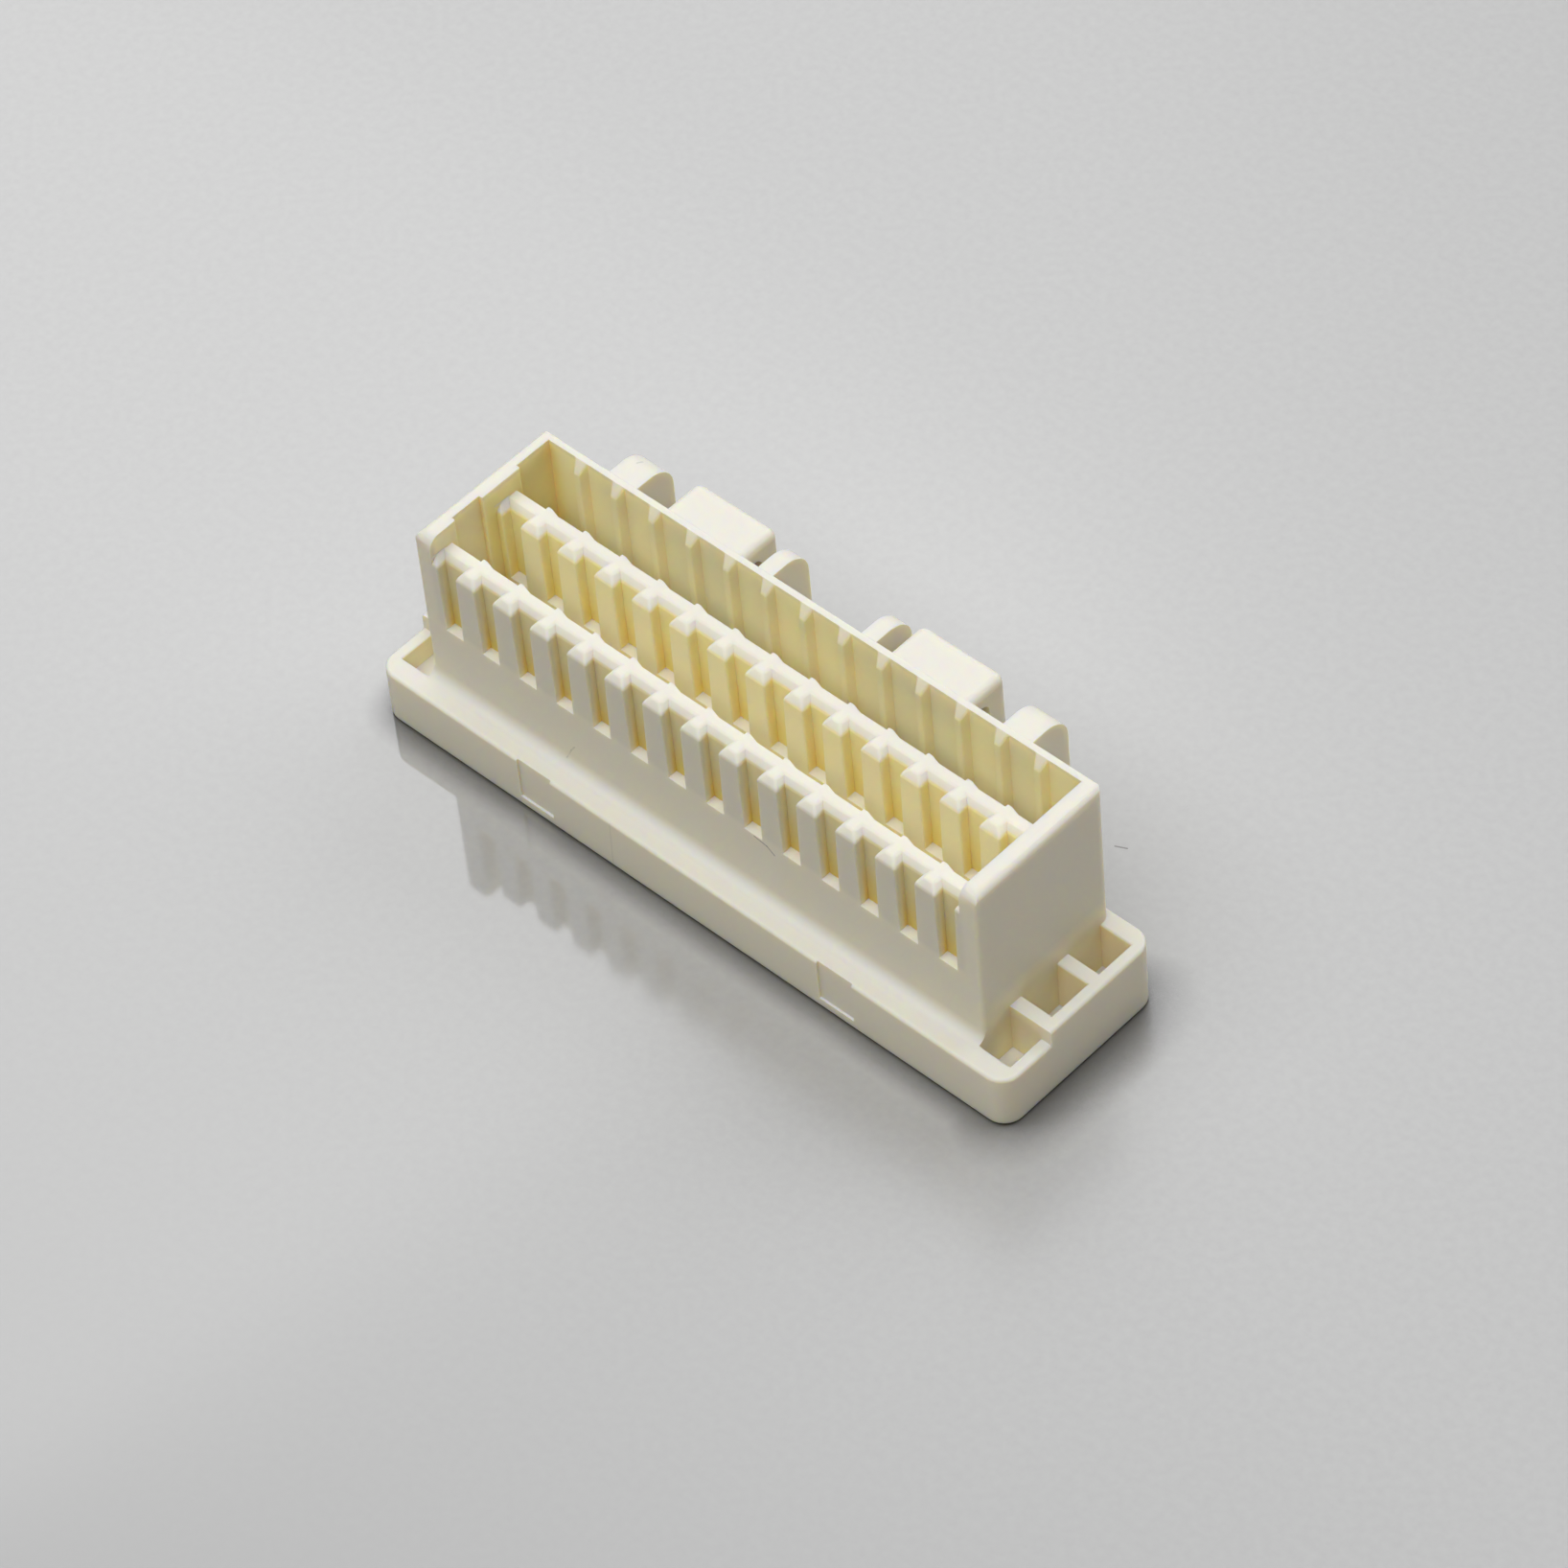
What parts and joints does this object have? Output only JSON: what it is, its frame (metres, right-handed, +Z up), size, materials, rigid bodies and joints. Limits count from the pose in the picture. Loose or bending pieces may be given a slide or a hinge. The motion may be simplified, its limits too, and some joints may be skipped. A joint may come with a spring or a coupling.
{
  "type": "wire-to-board connector housing",
  "caption": "One-piece moulded crimp-contact housing for a wire-to-board connector, with comb walls, open wire troughs, a pocketed mating nose and flexing lock arms.",
  "frame": {"origin": "middle of the flat mating face, half-way between the contact rows", "axes": "+X along the contact rows, +Y from the open front towards the lock arms, +Z up from the mating face to the wire side"},
  "size_m": [0.0334, 0.0108, 0.0108],
  "materials": {
    "ivory_plastic": "as-moulded satin, slightly translucent"
  },
  "bodies": {
    "root": {"housing": "ivory_plastic"}
  },
  "joints": []
}
